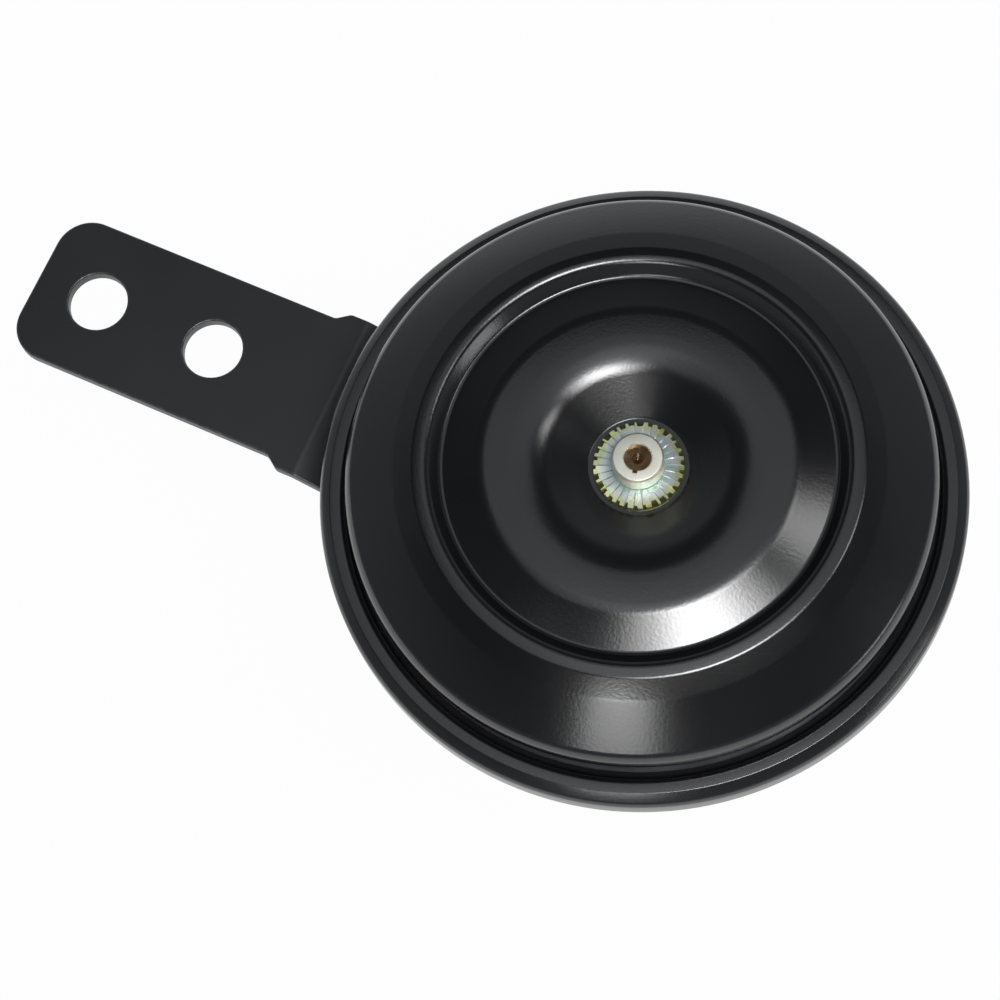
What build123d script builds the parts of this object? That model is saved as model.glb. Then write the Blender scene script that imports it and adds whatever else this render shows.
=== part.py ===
from build123d import *
import math
import os

os.makedirs("parts", exist_ok=True)

# All sizes are millimetres. The origin lies on the front face of the bracket's free end,
# midway between its two bolt holes. +Z points the way the horn faces and the bracket
# runs along -X from the horn. Heights named *_H are measured from the rim's crest plane.

# Fits
SHAFT_CLEARANCE = 0.05
LOOSE_CLEARANCE = 0.3

# Sheet thicknesses
DISC_SHEET = 0.9
RING_SHEET = 1.0
HOUSING_SHEET = 1.0
DIAPHRAGM_SHEET = 0.5
GASKET_SHEET = 0.4
BRACKET_SHEET = 2.0

# Rim: clamp ring rolled over the flange stack
RING_R = 45.0
RING_BEVEL_WIDTH = 1.6
RING_BEVEL_DROP = 1.1
RING_BAND_WIDTH = 2.1
RING_BAND_RISE = 0.15
RING_STEP_WIDTH = 0.3
RING_STEP_DROP = 1.45
RING_LIP_WIDTH = 0.8
RING_CREST_H = 0.2
RING_SIDE_HEIGHT = 4.5
RING_CURL_WIDTH = 2.6
RING_CREST_BEND = 1.2
RING_LIP_BEND = 0.3
RING_STEP_BEND = 1.1
RING_BACK_BEND = 1.4
STACK_MARGIN = 0.4
RING_CREST_R = RING_R - RING_BEVEL_WIDTH
RING_SHOULDER_H = RING_CREST_H - RING_BEVEL_DROP
RING_STEP_R = RING_CREST_R - RING_BAND_WIDTH
RING_STEP_H = RING_CREST_H + RING_BAND_RISE
RING_LIP_OUTER_R = RING_STEP_R - RING_STEP_WIDTH
RING_LIP_INNER_R = RING_LIP_OUTER_R - RING_LIP_WIDTH
RING_LIP_H = RING_STEP_H - RING_STEP_DROP
RING_BACK_H = RING_SHOULDER_H - RING_SIDE_HEIGHT
RING_BACK_INNER_R = RING_R - RING_CURL_WIDTH
STACK_R = RING_R - RING_SHEET - STACK_MARGIN

# Where the horn stands on its bracket
FOLD_X = 29.5
FOLD_MARGIN = 6.0
HORN_X = FOLD_X + FOLD_MARGIN + RING_R
RIM_Z = 19.0
HORN_PLANE = Plane(origin=(HORN_X, 0, RIM_Z), x_dir=(1, 0, 0), z_dir=(0, -1, 0))
HORN_AXIS = Axis((HORN_X, 0, RIM_Z), (0, 0, 1))

# Heights of the clamped stack, front to back
GASKET_FRONT_TOP_H = RING_LIP_H - RING_SHEET
DIAPHRAGM_TOP_H = GASKET_FRONT_TOP_H - GASKET_SHEET
GASKET_REAR_TOP_H = DIAPHRAGM_TOP_H - DIAPHRAGM_SHEET
FLANGE_TOP_H = GASKET_REAR_TOP_H - GASKET_SHEET
FLANGE_BACK_H = FLANGE_TOP_H - HOUSING_SHEET
GASKET_WIDTH = 3.6
GASKET_INNER_R = STACK_R - GASKET_WIDTH

# Armature and magnet
SPINDLE_R = 2.0
CORE_R = 7.0
ARM_CORE_GAP = 0.5
ARMATURE_OVER_ARM = 1.5
ARM_REACH_X = CORE_R + ARM_CORE_GAP
ARMATURE_R = ARM_REACH_X + ARMATURE_OVER_ARM
ARMATURE_TOP_H = GASKET_REAR_TOP_H
ARMATURE_HEIGHT = 8.6
ARMATURE_BEVEL = 0.6
SPINDLE_IN_ARMATURE = 7.6
SPINDLE_FOOT_H = ARMATURE_TOP_H - SPINDLE_IN_ARMATURE
AIR_GAP = 0.8
CORE_TOP_H = ARMATURE_TOP_H - ARMATURE_HEIGHT - AIR_GAP

# Breaker heights: two spring arms in an insulated stack on the housing's shelf
ARM_SHEET = 0.4
FIXED_ARM_SHEET = 0.6
ARM_UNDER_ARMATURE = 0.5
CONTACT_THICK = 0.95
LOWER_INSULATOR_THICK = 2.0
UPPER_INSULATOR_THICK = 0.8
ARM_TOP_H = ARMATURE_TOP_H - ARMATURE_HEIGHT - ARM_UNDER_ARMATURE
ARM_BACK_H = ARM_TOP_H - ARM_SHEET
FIXED_ARM_BACK_H = ARM_TOP_H + 2 * CONTACT_THICK
FIXED_ARM_TOP_H = FIXED_ARM_BACK_H + FIXED_ARM_SHEET
STACK_TOP_H = FIXED_ARM_TOP_H + UPPER_INSULATOR_THICK

# Housing: stepped pot behind the rim
FLANGE_WIDTH = 2.4
POT_TAPER = 1.0
SHELF_WIDTH = 10.7
WELL_TAPER = 1.5
WELL_DEPTH = 11.5
POT_MOUTH_BEND = 0.8
POT_WAIST_BEND = 3.0
SHELF_BEND = 2.0
FLOOR_BEND = 2.2
POT_MOUTH_R = STACK_R - FLANGE_WIDTH
POT_WAIST_R = POT_MOUTH_R - POT_TAPER
WELL_TOP_R = POT_WAIST_R - SHELF_WIDTH
WELL_FLOOR_R = WELL_TOP_R - WELL_TAPER
SHELF_INSIDE_H = ARM_BACK_H - LOWER_INSULATOR_THICK
SHELF_H = SHELF_INSIDE_H - HOUSING_SHEET
FLOOR_H = SHELF_H - WELL_DEPTH
FLOOR_INSIDE_H = FLOOR_H + HOUSING_SHEET

# Bobbin and coil round the core
BOBBIN_WALL = 1.2
BOBBIN_FLANGE_THICK = 1.2
BOBBIN_UNDER_CORE = 0.6
BOBBIN_MARGIN = 5.8
COIL_UNDER_FLANGE = 1.0
BOBBIN_BORE_R = CORE_R + LOOSE_CLEARANCE / 2
BOBBIN_TUBE_R = BOBBIN_BORE_R + BOBBIN_WALL
BOBBIN_FLANGE_R = WELL_FLOOR_R - HOUSING_SHEET - FLOOR_BEND - BOBBIN_MARGIN
BOBBIN_TOP_H = CORE_TOP_H - BOBBIN_UNDER_CORE
COIL_R = BOBBIN_FLANGE_R - COIL_UNDER_FLANGE

# Centre stack on the spindle, front surface of the tone disc at its seat
SEAT_H = 8.2
SPINDLE_STEP = 0.15
SPINDLE_SUNK = 0.7
SPINDLE_MARK_R = 0.8
SPINDLE_MARK_DEPTH = 0.6
WASHER_R = 6.3
WASHER_SHEET = 0.7
WASHER_TEETH = 30
WASHER_TOOTH_DEPTH = 0.7
WASHER_TOOTH_GAP = 0.28
NUT_R = 3.55
NUT_HEIGHT = 3.3
NUT_BEVEL = 0.25
SPACER_R = 5.0
SPACER_FOOT_R = 9.0
SPACER_FOOT_THICK = 1.4
SPINDLE_TIP_R = SPINDLE_R - SPINDLE_STEP
NUT_BASE_H = SEAT_H + WASHER_SHEET
NUT_TOP_H = NUT_BASE_H + NUT_HEIGHT
SPINDLE_TIP_H = NUT_TOP_H - SPINDLE_SUNK
SPACER_TOP_H = SEAT_H - DISC_SHEET

# Tone disc, front surface from the washer's seat outwards: steps across and up
SEAT_MARGIN = 0.6
FUNNEL_WIDTH = 7.9
FUNNEL_RISE = 4.5
DOME_WIDTH = 6.5
DOME_DROP = 0.45
CHANNEL_WIDTH = 5.4
CHANNEL_DROP = 1.9
CREST_WIDTH = 2.6
CREST_RISE = 1.95
SHOULDER_WIDTH = 4.7
SHOULDER_DROP = 1.9
CONE_WIDTH = 6.6
CONE_DROP = 4.2
SKIRT_HEIGHT = 2.6
SEAT_BEND = 1.0
RIDGE_BEND = 10.0
DOME_EDGE_BEND = 6.0
VALLEY_BEND = 0.9
CREST_BEND = 1.0
CONE_BEND = 20.0
DISC_EDGE_BEND = 2.2
SEAT_R = WASHER_R + SEAT_MARGIN
RIDGE_R = SEAT_R + FUNNEL_WIDTH
RIDGE_H = SEAT_H + FUNNEL_RISE
DOME_EDGE_R = RIDGE_R + DOME_WIDTH
DOME_EDGE_H = RIDGE_H - DOME_DROP
VALLEY_R = DOME_EDGE_R + CHANNEL_WIDTH
VALLEY_H = DOME_EDGE_H - CHANNEL_DROP
CREST_R = VALLEY_R + CREST_WIDTH
CREST_H = VALLEY_H + CREST_RISE
SHOULDER_R = CREST_R + SHOULDER_WIDTH
SHOULDER_H = CREST_H - SHOULDER_DROP
DISC_EDGE_R = SHOULDER_R + CONE_WIDTH
DISC_EDGE_H = SHOULDER_H - CONE_DROP
SKIRT_H = DISC_EDGE_H - SKIRT_HEIGHT

# Rear stud, its washer and nut (M6)
STUD_R = 3.0
LOCK_WASHER_R = 5.6
LOCK_WASHER_THICK = 1.5
LOCK_WASHER_SPLIT = 1.2
STUD_NUT_ACROSS_FLATS = 10.0
STUD_NUT_HEIGHT = 5.0
STUD_PROUD = 2.0
STUD_BEVEL = 0.5
STUD_HOLE_R = STUD_R + LOOSE_CLEARANCE
LOCK_WASHER_TOP_H = FLOOR_H - BRACKET_SHEET
NUT_STUD_TOP_H = LOCK_WASHER_TOP_H - LOCK_WASHER_THICK
STUD_END_H = NUT_STUD_TOP_H - STUD_NUT_HEIGHT - STUD_PROUD

# Bracket strap
TAB_WIDTH = 23.3
TAB_CORNER_R = 5.5
HOLE_R = 4.5
HOLE_SPACING = 19.5
HOLE_TO_END = 10.15
SHOULDER_STEP = 1.45
SHOULDER_LENGTH = 2.0
SHOULDER_TO_FOLD = 2.9
SHOULDER_BEND = 1.2
FOLD_BEND = 2.6
SEAT_TO_WELL = 1.0
STRAP_SEAT_BEND = 5.0
TAB_END_X = -(HOLE_SPACING / 2 + HOLE_TO_END)
ROOT_WIDTH = TAB_WIDTH + 2 * SHOULDER_STEP
SHOULDER_END_X = FOLD_X - SHOULDER_TO_FOLD
SHOULDER_START_X = SHOULDER_END_X - SHOULDER_LENGTH
STRAP_SEAT_X = HORN_X - WELL_FLOOR_R - SEAT_TO_WELL
STRAP_SEAT_Z = RIM_Z + FLOOR_H
STRAP_TAIL_R = ROOT_WIDTH / 2

# Breaker plan: the stack stands on the shelf towards +X
STACK_FROM_WAIST = 6.1
BREAKER_LENGTH = 5.2
BREAKER_RIVET_R = 1.1
BREAKER_RIVET_Y = 3.6
BREAKER_RIVET_EDGE = 2.4
BREAKER_RIVET_HEAD_R = 1.9
BREAKER_RIVET_HEAD = 0.8
ARM_WIDTH = 7.0
CONTACT_R = 2.0
CONTACT_FROM_STACK = 11.7
FIXED_ARM_OVERHANG = 2.9
BREAKER_X = POT_WAIST_R - STACK_FROM_WAIST
BREAKER_WIDTH = 2 * (BREAKER_RIVET_Y + BREAKER_RIVET_EDGE)
CONTACT_X = BREAKER_X - CONTACT_FROM_STACK
FIXED_ARM_REACH_X = CONTACT_X - FIXED_ARM_OVERHANG

# Adjusting screw (M4) under the fixed arm's side tab
TUNING_SCREW_R = 2.0
TUNING_HEAD_R = 3.6
TUNING_HEAD_HEIGHT = 2.4
TUNING_SLOT_WIDTH = 1.0
TUNING_SLOT_DEPTH = 1.2
TUNING_INSET = 0.5
TUNING_FROM_STACK = 4.2
TUNING_TAB_LENGTH = 5.0
TUNING_TAB_MARGIN = 1.2
TUNING_SCREW_X = BREAKER_X - TUNING_INSET
TUNING_SCREW_Y = BREAKER_WIDTH / 2 + TUNING_FROM_STACK
TUNING_TAB_END_Y = TUNING_SCREW_Y + TUNING_SCREW_R + TUNING_TAB_MARGIN

# Terminals on the housing's shelf, towards +Y
PLATE_FROM_WELL = 2.0
PLATE_WIDTH = 6.8
PLATE_SIDE = 6.0
PLATE_THICK = 1.6
PLATE_CORNER_R = 1.5
TERMINAL_X = 7.0
TERMINAL_RIVET_R = 1.2
TERMINAL_RIVET_EDGE = 2.2
TERMINAL_RIVET_HEAD_R = 2.2
TERMINAL_RIVET_HEAD = 0.8
BUSH_WALL = 1.1
BUSH_CLEARANCE = 0.1
BLADE_WIDTH = 6.3
BLADE_SHEET = 0.8
BLADE_FOOT_MARGIN = 0.4
BLADE_OUTER_MARGIN = 0.3
BLADE_LENGTH = 13.4
BLADE_TIP_CHAMFER = 1.4
BLADE_BEND = 1.2
BLADE_EYE_R = 0.9
BLADE_EYE_FROM_TIP = 4.6
STRIP_SIDE = 3.0
STRIP_MARGIN = 0.3
STRIP_WIDTH = 3.7
INNER_STRIP_THICK = 1.0
PLATE_INNER_Y = WELL_TOP_R + PLATE_FROM_WELL
PLATE_OUTER_Y = PLATE_INNER_Y + PLATE_WIDTH
PLATE_LENGTH = 2 * (TERMINAL_X + PLATE_SIDE)
PLATE_BACK_H = SHELF_H - PLATE_THICK
TERMINAL_RIVET_Y = PLATE_INNER_Y + TERMINAL_RIVET_EDGE
BUSH_R = TERMINAL_RIVET_R + BUSH_WALL
BUSH_HOLE_R = BUSH_R + BUSH_CLEARANCE
BLADE_FOOT_INNER_Y = PLATE_INNER_Y + BLADE_FOOT_MARGIN
BLADE_OUTER_Y = PLATE_OUTER_Y - BLADE_OUTER_MARGIN
BLADE_BACK_H = PLATE_BACK_H - BLADE_SHEET
BLADE_TIP_H = PLATE_BACK_H - BLADE_LENGTH
INNER_STRIP_LENGTH = 2 * (TERMINAL_X + STRIP_SIDE)
INNER_STRIP_INNER_Y = PLATE_INNER_Y + STRIP_MARGIN
INNER_STRIP_OUTER_Y = INNER_STRIP_INNER_Y + STRIP_WIDTH
INNER_STRIP_TOP_H = SHELF_INSIDE_H + INNER_STRIP_THICK

# Leads: thin insulated wires, as (x, y, height) points from the horn's axis
LEAD_R = 0.5
COIL_TERMINAL_LEAD = [
    (-TERMINAL_X, TERMINAL_RIVET_Y - TERMINAL_RIVET_HEAD_R - 0.05, INNER_STRIP_TOP_H + LEAD_R),
    (-6.0, 27.0, -11.6),
    (-4.0, 22.5, -13.0),
    (-3.0, COIL_R + LEAD_R, -17.0),
]
COIL_BREAKER_LEAD = [
    (BREAKER_X - 3.3, -4.9, ARM_TOP_H + LEAD_R),
    (27.5, -8.5, -11.4),
    (22.0, -9.5, -13.2),
    (16.6, -9.1, -17.0),
]
BREAKER_TERMINAL_LEAD = [
    (TUNING_SCREW_X, TUNING_TAB_END_Y - 1.0, FIXED_ARM_TOP_H + LEAD_R),
    (29.0, 20.0, -8.2),
    (19.5, 29.0, -9.6),
    (TERMINAL_X + TERMINAL_RIVET_HEAD_R + 0.6, TERMINAL_RIVET_Y - 0.6, INNER_STRIP_TOP_H + LEAD_R),
]


def height(value):
    """Height in the part's frame of a height given from the rim's crest plane."""
    return RIM_Z + value


def at_horn(x=0.0, y=0.0, h=0.0):
    """Place of a point given from the horn's axis and the rim's crest plane."""
    return (HORN_X + x, y, height(h))


def rounded_path(corners):
    """Draw a line through (x, y, bend radius) corners, each rounded by a tangent arc."""
    here = Vector(corners[0][0], corners[0][1])
    for index in range(1, len(corners) - 1):
        corner = Vector(corners[index][0], corners[index][1])
        before = Vector(corners[index - 1][0], corners[index - 1][1]) - corner
        after = Vector(corners[index + 1][0], corners[index + 1][1]) - corner
        bend = corners[index][2]
        half = math.radians(before.get_angle(after)) / 2
        back = bend / math.tan(half)
        first = corner + before.normalized() * back
        last = corner + after.normalized() * back
        inward = (before.normalized() + after.normalized()).normalized()
        middle = corner + inward * (bend / math.sin(half) - bend)
        Line(here, first)
        ThreePointArc(first, middle, last)
        here = last
    Line(here, Vector(corners[-1][0], corners[-1][1]))


def ring_section(inner_r, outer_r, low_h, high_h):
    """Rectangle between two radii and two heights on the horn's section plane."""
    with Locations(((inner_r + outer_r) / 2, (low_h + high_h) / 2)):
        Rectangle(outer_r - inner_r, high_h - low_h)


# Housing: deep drawn steel pot with a wide chamber, a shelf and a narrow well
with BuildPart() as housing:
    with BuildSketch(HORN_PLANE):
        with BuildLine():
            rounded_path([
                (STACK_R, FLANGE_BACK_H),
                (POT_MOUTH_R, FLANGE_BACK_H, POT_MOUTH_BEND),
                (POT_WAIST_R, SHELF_H, POT_WAIST_BEND),
                (WELL_TOP_R, SHELF_H, SHELF_BEND),
                (WELL_FLOOR_R, FLOOR_H, FLOOR_BEND),
                (STUD_HOLE_R, FLOOR_H),
            ])
            offset(amount=HOUSING_SHEET, side=Side.RIGHT)
        make_face()
    revolve(axis=HORN_AXIS)
    with BuildSketch(Plane.XY.offset(height(SHELF_H))):
        with Locations((HORN_X - TERMINAL_X, TERMINAL_RIVET_Y), (HORN_X + TERMINAL_X, TERMINAL_RIVET_Y)):
            Circle(BUSH_HOLE_R)
        with Locations((HORN_X + BREAKER_X, BREAKER_RIVET_Y), (HORN_X + BREAKER_X, -BREAKER_RIVET_Y)):
            Circle(BREAKER_RIVET_R)
        with Locations((HORN_X + TUNING_SCREW_X, TUNING_SCREW_Y)):
            Circle(TUNING_SCREW_R)
    extrude(amount=HOUSING_SHEET, mode=Mode.SUBTRACT)
housing.part.label = "housing"
export_step(housing.part, "parts/housing.step")

# Clamp ring: steel ring rolled round the housing's flange, the gaskets and the diaphragm
with BuildPart() as clamp_ring:
    with BuildSketch(HORN_PLANE):
        with BuildLine():
            rounded_path([
                (RING_LIP_INNER_R, RING_LIP_H),
                (RING_LIP_OUTER_R, RING_LIP_H, RING_LIP_BEND),
                (RING_STEP_R, RING_STEP_H, RING_STEP_BEND),
                (RING_CREST_R, RING_CREST_H, RING_CREST_BEND),
                (RING_R, RING_SHOULDER_H, RING_CREST_BEND),
                (RING_R, RING_BACK_H, RING_BACK_BEND),
                (RING_BACK_INNER_R, RING_BACK_H),
            ])
            offset(amount=RING_SHEET, side=Side.RIGHT)
        make_face()
    revolve(axis=HORN_AXIS)
clamp_ring.part.label = "clamp_ring"
export_step(clamp_ring.part, "parts/clamp_ring.step")

# Gaskets: two paper rings, one on each side of the diaphragm's edge
with BuildPart() as gasket_front:
    with BuildSketch(HORN_PLANE):
        ring_section(GASKET_INNER_R, STACK_R, DIAPHRAGM_TOP_H, GASKET_FRONT_TOP_H)
    revolve(axis=HORN_AXIS)
gasket_front.part.label = "gasket_front"
export_step(gasket_front.part, "parts/gasket_front.step")

with BuildPart() as gasket_rear:
    with BuildSketch(HORN_PLANE):
        ring_section(POT_MOUTH_R, STACK_R, FLANGE_TOP_H, GASKET_REAR_TOP_H)
    revolve(axis=HORN_AXIS)
gasket_rear.part.label = "gasket_rear"
export_step(gasket_rear.part, "parts/gasket_rear.step")

# Diaphragm: spring steel sheet, clamped at its edge and gripped at its centre
with BuildPart() as diaphragm:
    with BuildSketch(HORN_PLANE):
        ring_section(SPINDLE_R, STACK_R, GASKET_REAR_TOP_H, DIAPHRAGM_TOP_H)
    revolve(axis=HORN_AXIS)
diaphragm.part.label = "diaphragm"
export_step(diaphragm.part, "parts/diaphragm.step")

# Tone disc: pressed steel resonator, a conical skirt round a bowl with a dished button
with BuildPart() as tone_disc:
    with BuildSketch(HORN_PLANE):
        with BuildLine():
            rounded_path([
                (DISC_EDGE_R, SKIRT_H),
                (DISC_EDGE_R, DISC_EDGE_H, DISC_EDGE_BEND),
                (SHOULDER_R, SHOULDER_H, CONE_BEND),
                (CREST_R, CREST_H, CREST_BEND),
                (VALLEY_R, VALLEY_H, VALLEY_BEND),
                (DOME_EDGE_R, DOME_EDGE_H, DOME_EDGE_BEND),
                (RIDGE_R, RIDGE_H, RIDGE_BEND),
                (SEAT_R, SEAT_H, SEAT_BEND),
                (SPINDLE_R, SEAT_H),
            ])
            offset(amount=DISC_SHEET, side=Side.LEFT)
        make_face()
    revolve(axis=HORN_AXIS)
tone_disc.part.label = "tone_disc"
export_step(tone_disc.part, "parts/tone_disc.step")

# Disc spacer: turned collar that holds the tone disc off the diaphragm
with BuildPart() as disc_spacer:
    with BuildSketch(HORN_PLANE):
        ring_section(SPINDLE_R, SPACER_R, DIAPHRAGM_TOP_H, SPACER_TOP_H)
        ring_section(SPINDLE_R, SPACER_FOOT_R, DIAPHRAGM_TOP_H, DIAPHRAGM_TOP_H + SPACER_FOOT_THICK)
    revolve(axis=HORN_AXIS)
disc_spacer.part.label = "disc_spacer"
export_step(disc_spacer.part, "parts/disc_spacer.step")

# Toothed washer under the centre nut
with BuildPart() as toothed_washer:
    with BuildSketch(Plane.XY.offset(height(SEAT_H))):
        with Locations((HORN_X, 0)):
            Circle(WASHER_R)
            Circle(SPINDLE_R, mode=Mode.SUBTRACT)
            with PolarLocations(WASHER_R - WASHER_TOOTH_DEPTH / 2, WASHER_TEETH):
                Rectangle(
                    WASHER_TOOTH_DEPTH * 2,
                    WASHER_TOOTH_GAP,
                    align=(Align.MIN, Align.CENTER),
                    mode=Mode.SUBTRACT,
                )
    extrude(amount=WASHER_SHEET)
toothed_washer.part.label = "toothed_washer"
export_step(toothed_washer.part, "parts/toothed_washer.step")

# Centre nut: plain round collar pressed on the spindle's tip
with BuildPart() as centre_nut:
    with BuildSketch(HORN_PLANE):
        with BuildLine():
            Polyline(
                (SPINDLE_TIP_R, NUT_BASE_H),
                (NUT_R, NUT_BASE_H),
                (NUT_R, NUT_TOP_H - NUT_BEVEL),
                (NUT_R - NUT_BEVEL, NUT_TOP_H),
                (SPINDLE_TIP_R + NUT_BEVEL, NUT_TOP_H),
                (SPINDLE_TIP_R, NUT_TOP_H - NUT_BEVEL),
                close=True,
            )
        make_face()
    revolve(axis=HORN_AXIS)
centre_nut.part.label = "centre_nut"
export_step(centre_nut.part, "parts/centre_nut.step")

# Spindle: ties armature, diaphragm, spacer, tone disc, washer and nut together
with BuildPart() as spindle:
    with BuildSketch(HORN_PLANE):
        with BuildLine():
            Polyline(
                (0, SPINDLE_FOOT_H),
                (SPINDLE_R, SPINDLE_FOOT_H),
                (SPINDLE_R, NUT_BASE_H),
                (SPINDLE_TIP_R, NUT_BASE_H),
                (SPINDLE_TIP_R, SPINDLE_TIP_H),
                (SPINDLE_MARK_R, SPINDLE_TIP_H),
                (0, SPINDLE_TIP_H - SPINDLE_MARK_DEPTH),
                close=True,
            )
        make_face()
    revolve(axis=HORN_AXIS)
spindle.part.label = "spindle"
export_step(spindle.part, "parts/spindle.step")

# Armature: soft iron slug behind the diaphragm
with BuildPart() as armature:
    with BuildSketch(HORN_PLANE):
        with BuildLine():
            Polyline(
                (0, ARMATURE_TOP_H - ARMATURE_HEIGHT),
                (ARMATURE_R - ARMATURE_BEVEL, ARMATURE_TOP_H - ARMATURE_HEIGHT),
                (ARMATURE_R, ARMATURE_TOP_H - ARMATURE_HEIGHT + ARMATURE_BEVEL),
                (ARMATURE_R, ARMATURE_TOP_H),
                (SPINDLE_R, ARMATURE_TOP_H),
                (SPINDLE_R, SPINDLE_FOOT_H),
                (0, SPINDLE_FOOT_H),
                close=True,
            )
        make_face()
    revolve(axis=HORN_AXIS)
armature.part.label = "armature"
export_step(armature.part, "parts/armature.step")

# Pole core: iron core of the magnet, with the threaded rear stud in one piece
with BuildPart() as pole_core:
    with BuildSketch(HORN_PLANE):
        with BuildLine():
            Polyline(
                (0, STUD_END_H),
                (STUD_R - STUD_BEVEL, STUD_END_H),
                (STUD_R, STUD_END_H + STUD_BEVEL),
                (STUD_R, FLOOR_INSIDE_H),
                (CORE_R, FLOOR_INSIDE_H),
                (CORE_R, CORE_TOP_H),
                (0, CORE_TOP_H),
                close=True,
            )
        make_face()
    revolve(axis=HORN_AXIS)
pole_core.part.label = "pole_core"
export_step(pole_core.part, "parts/pole_core.step")

# Coil bobbin: moulded reel round the core
with BuildPart() as coil_bobbin:
    with BuildSketch(HORN_PLANE):
        ring_section(BOBBIN_BORE_R, BOBBIN_TUBE_R, FLOOR_INSIDE_H, BOBBIN_TOP_H)
        ring_section(BOBBIN_BORE_R, BOBBIN_FLANGE_R, FLOOR_INSIDE_H, FLOOR_INSIDE_H + BOBBIN_FLANGE_THICK)
        ring_section(BOBBIN_BORE_R, BOBBIN_FLANGE_R, BOBBIN_TOP_H - BOBBIN_FLANGE_THICK, BOBBIN_TOP_H)
    revolve(axis=HORN_AXIS)
coil_bobbin.part.label = "coil_bobbin"
export_step(coil_bobbin.part, "parts/coil_bobbin.step")

# Coil winding: enamelled copper wire, drawn as one body
with BuildPart() as coil_winding:
    with BuildSketch(HORN_PLANE):
        ring_section(
            BOBBIN_TUBE_R,
            COIL_R,
            FLOOR_INSIDE_H + BOBBIN_FLANGE_THICK,
            BOBBIN_TOP_H - BOBBIN_FLANGE_THICK,
        )
    revolve(axis=HORN_AXIS)
coil_winding.part.label = "coil_winding"
export_step(coil_winding.part, "parts/coil_winding.step")


def insulator_block(low_h, high_h):
    """One block of the breaker's stack, with its two rivet holes."""
    with BuildPart() as block:
        with BuildSketch(Plane.XY.offset(height(low_h))):
            with Locations((HORN_X + BREAKER_X, 0)):
                Rectangle(BREAKER_LENGTH, BREAKER_WIDTH)
            with Locations((HORN_X + BREAKER_X, BREAKER_RIVET_Y), (HORN_X + BREAKER_X, -BREAKER_RIVET_Y)):
                Circle(BREAKER_RIVET_R, mode=Mode.SUBTRACT)
        extrude(amount=high_h - low_h)
    return block.part


# Breaker insulators: three blocks that keep the two arms apart and off the housing
for name, low_h, high_h in (
    ("insulator_lower", SHELF_INSIDE_H, ARM_BACK_H),
    ("insulator_middle", ARM_TOP_H, FIXED_ARM_BACK_H),
    ("insulator_upper", FIXED_ARM_TOP_H, STACK_TOP_H),
):
    block_part = insulator_block(low_h, high_h)
    block_part.label = name
    export_step(block_part, "parts/" + name + ".step")

# Moving arm: long leaf spring that the armature pushes at the end of its stroke
BREAKER_OUTER_X = BREAKER_X + BREAKER_LENGTH / 2
BREAKER_INNER_X = BREAKER_X - BREAKER_LENGTH / 2
with BuildPart() as breaker_moving_arm:
    with BuildSketch(Plane.XY.offset(height(ARM_BACK_H))):
        with Locations((HORN_X + BREAKER_X, 0)):
            Rectangle(BREAKER_LENGTH, BREAKER_WIDTH)
        with Locations((HORN_X + (ARM_REACH_X + BREAKER_OUTER_X) / 2, 0)):
            Rectangle(BREAKER_OUTER_X - ARM_REACH_X, ARM_WIDTH)
        with Locations((HORN_X + BREAKER_X, BREAKER_RIVET_Y), (HORN_X + BREAKER_X, -BREAKER_RIVET_Y)):
            Circle(BREAKER_RIVET_R, mode=Mode.SUBTRACT)
    extrude(amount=ARM_SHEET)
breaker_moving_arm.part.label = "breaker_moving_arm"
export_step(breaker_moving_arm.part, "parts/breaker_moving_arm.step")

# Fixed arm: stiffer strip above it, with a side tab for the adjusting screw
with BuildPart() as breaker_fixed_arm:
    with BuildSketch(Plane.XY.offset(height(FIXED_ARM_BACK_H))):
        with Locations((HORN_X + BREAKER_X, 0)):
            Rectangle(BREAKER_LENGTH, BREAKER_WIDTH)
        with Locations((HORN_X + (FIXED_ARM_REACH_X + BREAKER_OUTER_X) / 2, 0)):
            Rectangle(BREAKER_OUTER_X - FIXED_ARM_REACH_X, ARM_WIDTH)
        with Locations((HORN_X + TUNING_SCREW_X, TUNING_TAB_END_Y / 2)):
            Rectangle(TUNING_TAB_LENGTH, TUNING_TAB_END_Y)
        with Locations((HORN_X + BREAKER_X, BREAKER_RIVET_Y), (HORN_X + BREAKER_X, -BREAKER_RIVET_Y)):
            Circle(BREAKER_RIVET_R, mode=Mode.SUBTRACT)
    extrude(amount=FIXED_ARM_SHEET)
breaker_fixed_arm.part.label = "breaker_fixed_arm"
export_step(breaker_fixed_arm.part, "parts/breaker_fixed_arm.step")

# Contacts: one button on each arm, closed at rest
with BuildPart() as contact_moving:
    with BuildSketch(Plane.XY.offset(height(ARM_TOP_H))):
        with Locations((HORN_X + CONTACT_X, 0)):
            Circle(CONTACT_R)
    extrude(amount=CONTACT_THICK)
contact_moving.part.label = "contact_moving"
export_step(contact_moving.part, "parts/contact_moving.step")

with BuildPart() as contact_fixed:
    with BuildSketch(Plane.XY.offset(height(ARM_TOP_H + CONTACT_THICK))):
        with Locations((HORN_X + CONTACT_X, 0)):
            Circle(CONTACT_R)
    extrude(amount=CONTACT_THICK)
contact_fixed.part.label = "contact_fixed"
export_step(contact_fixed.part, "parts/contact_fixed.step")

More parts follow.
